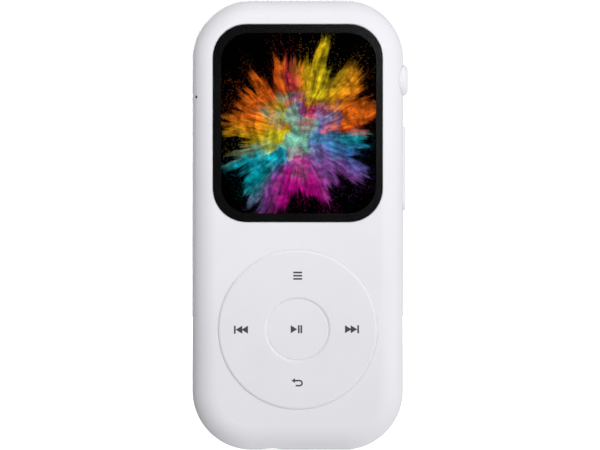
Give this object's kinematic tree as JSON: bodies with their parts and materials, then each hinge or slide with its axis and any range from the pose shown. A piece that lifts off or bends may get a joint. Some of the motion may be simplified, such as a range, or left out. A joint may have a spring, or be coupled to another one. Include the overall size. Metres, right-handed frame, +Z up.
{
  "type": "digital audio player",
  "caption": "Pocket audio player: rounded white casing, rounded display window, tilting control ring round a centre button, side power button and volume rocker.",
  "frame": {"origin": "middle of the casing's bottom end, on the surface that it stands on", "axes": "+X right as the display is read, +Y out of the back (the display faces -Y), +Z up along the casing"},
  "size_m": [0.0392, 0.0097, 0.082],
  "materials": {
    "white_plastic": "satin moulded plastic",
    "key_plastic": "satin moulded plastic",
    "window": "clear plate with a black printed border",
    "black_tape": "black adhesive tape",
    "black_foam": "closed-cell foam",
    "display_glass": "display cell",
    "backlight": "white frame and light guide",
    "ribbon": "amber polyimide",
    "board": "green solder mask",
    "steel": "nickel-plated steel",
    "chip_black": "moulded chip package",
    "metal_can": "plated metal can",
    "ferrite": "ferrite",
    "ceramic_tan": "ceramic",
    "black_plastic": "black moulded plastic",
    "contact_metal": "gold-plated contacts",
    "soft_rubber": "silicone rubber",
    "battery_foil": "laminated foil pouch",
    "adhesive": "double-sided adhesive",
    "battery_strip": "circuit strip under amber tape",
    "lead_red": "red insulation",
    "lead_black": "black insulation"
  },
  "bodies": {
    "casing": {"front_shell": "white_plastic", "rear_shell": "white_plastic", "display_window": "window", "window_adhesive": "black_tape", "display_gasket": "black_foam", "display_cell": "display_glass", "display_backlight": "backlight", "display_ribbon": "ribbon", "main_board": "board", "board_screws": "steel", "processor_chip": "chip_black", "memory_chip": "chip_black", "radio_chip": "chip_black", "charger_chip": "chip_black", "crystal": "metal_can", "power_inductor": "ferrite", "antenna": "ceramic_tan", "small_components": "ceramic_tan", "headphone_jack": "black_plastic", "jack_contacts": "contact_metal", "usb_port_shell": "steel", "usb_port_tongue": "black_plastic", "card_socket_base": "black_plastic", "card_socket_cover": "steel", "microphone": "metal_can", "microphone_boot": "soft_rubber", "battery": "battery_foil", "battery_adhesive": "adhesive", "battery_board": "battery_strip", "battery_lead_red": "lead_red", "battery_lead_black": "lead_black", "ring_switches": "black_plastic", "centre_switch": "black_plastic", "power_switch": "black_plastic", "volume_switches": "black_plastic", "rocker_pin": "steel"},
    "keypad": {"keypad_pad": "soft_rubber", "vertical_plungers": "black_plastic"},
    "ring": {"control_ring": "key_plastic", "horizontal_plungers": "black_plastic"},
    "centre": {"centre_button": "key_plastic", "centre_plunger": "black_plastic"},
    "power": {"power_button": "key_plastic", "power_plunger": "black_plastic"},
    "volume": {"volume_rocker": "key_plastic", "volume_plungers": "black_plastic"}
  },
  "joints": [
    {"name": "ring_up_down", "type": "hinge", "parent": "casing", "child": "keypad", "pos_m": [0, -0.0032, 0.022], "axis": [1, 0, 0], "range_deg": [-0.8, 0.8], "stiffness_Nm_per_rad": 1.4},
    {"name": "ring_left_right", "type": "hinge", "parent": "keypad", "child": "ring", "pos_m": [0, -0.0032, 0.022], "axis": [0, 0, 1], "range_deg": [-0.8, 0.8], "stiffness_Nm_per_rad": 1.4},
    {"name": "centre_press", "type": "slide", "parent": "casing", "child": "centre", "axis": [0, 1, 0], "range_m": [0, 0.0002], "stiffness_N_per_m": 5000, "springref_m": -0.0001},
    {"name": "power_press", "type": "slide", "parent": "casing", "child": "power", "axis": [-1, 0, 0], "range_m": [0, 0.0003], "stiffness_N_per_m": 5000, "springref_m": -0.0001},
    {"name": "volume_rock", "type": "hinge", "parent": "casing", "child": "volume", "pos_m": [0.01715, 0, 0.0513], "axis": [0, 1, 0], "range_deg": [-1.8, 1.8], "stiffness_Nm_per_rad": 0.24}
  ]
}
